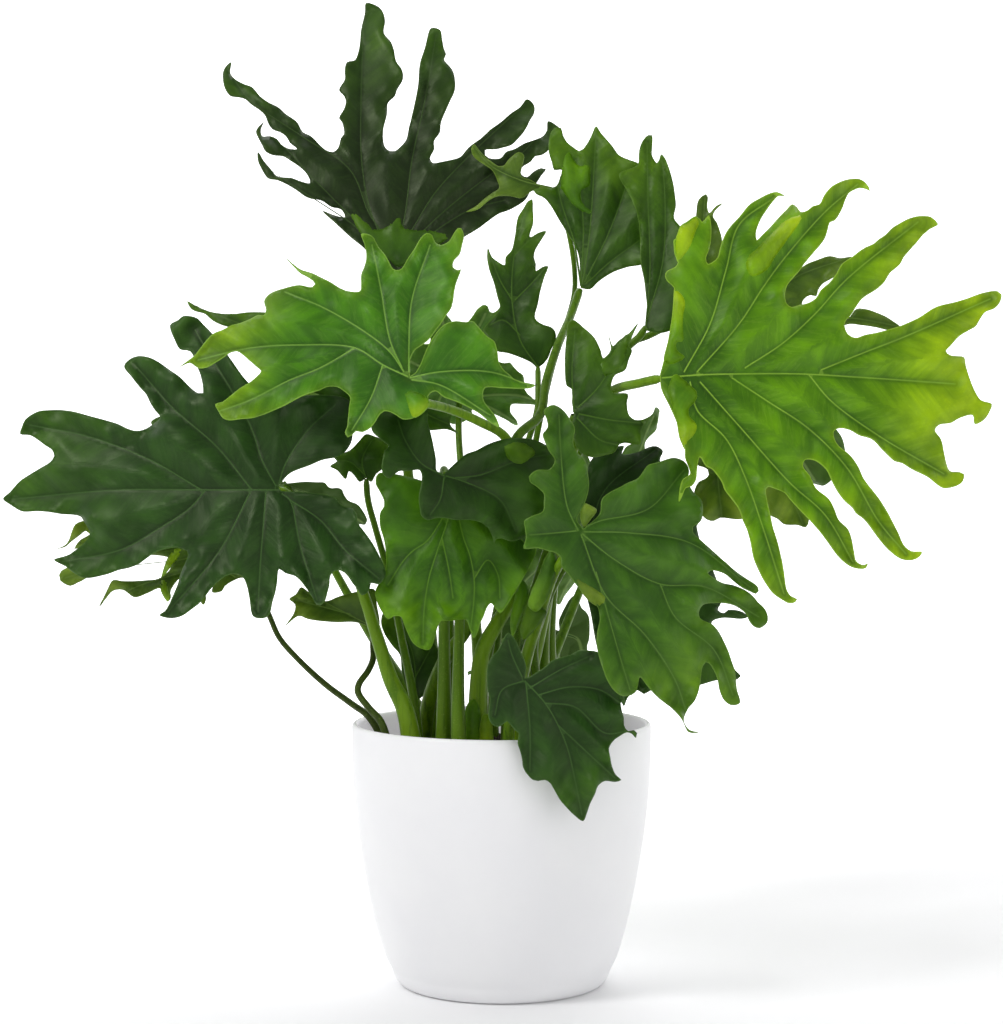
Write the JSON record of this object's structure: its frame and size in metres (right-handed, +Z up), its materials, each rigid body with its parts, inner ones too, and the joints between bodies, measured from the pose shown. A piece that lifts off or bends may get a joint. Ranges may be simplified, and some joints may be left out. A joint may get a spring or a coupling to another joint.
{
  "type": "potted split-leaf philodendron house plant",
  "caption": "Bushy house plant with long-stalked, deeply lobed green leaves, standing in soil in a round tapered white pot.",
  "frame": {"origin": "centre of the pot's flat underside", "axes": "+Z up along the pot's axis, -Y towards the side that the large leaves face, +X to the right seen from there"},
  "size_m": [0.7249, 0.3661, 0.7515],
  "materials": {
    "pot": "satin",
    "soil": "matte",
    "leaf": "satin",
    "petiole": "satin"
  },
  "bodies": {
    "root": {"pot": "pot", "soil": "soil", "top_left_blade": "leaf", "top_left_petiole": "petiole", "front_left_blade": "leaf", "front_left_petiole": "petiole", "left_large_blade": "leaf", "left_large_petiole": "petiole", "left_hidden_blade": "leaf", "left_hidden_petiole": "petiole", "left_low_blade": "leaf", "left_low_petiole": "petiole", "right_large_blade": "leaf", "right_large_petiole": "petiole", "top_middle_blade": "leaf", "top_middle_petiole": "petiole", "top_right_blade": "leaf", "top_right_petiole": "petiole", "right_behind_blade": "leaf", "right_behind_petiole": "petiole", "front_right_blade": "leaf", "front_right_petiole": "petiole", "front_hanging_blade": "leaf", "front_hanging_petiole": "petiole", "front_middle_blade": "leaf", "front_middle_petiole": "petiole", "over_rim_blade": "leaf", "over_rim_petiole": "petiole", "middle_small_blade": "leaf", "middle_small_petiole": "petiole", "middle_curled_blade": "leaf", "middle_curled_petiole": "petiole", "right_dark_blade": "leaf", "right_dark_petiole": "petiole", "left_small_blade": "leaf", "left_small_petiole": "petiole", "edge_strip_blade": "leaf", "edge_strip_petiole": "petiole", "left_olive_blade": "leaf", "left_olive_petiole": "petiole", "inner_left_blade": "leaf", "inner_left_petiole": "petiole", "far_left_blade": "leaf", "far_left_petiole": "petiole", "far_high_blade": "leaf", "far_high_petiole": "petiole", "far_right_blade": "leaf", "far_right_petiole": "petiole", "far_side_blade": "leaf", "far_side_petiole": "petiole", "far_low_blade": "leaf", "far_low_petiole": "petiole"}
  },
  "joints": []
}
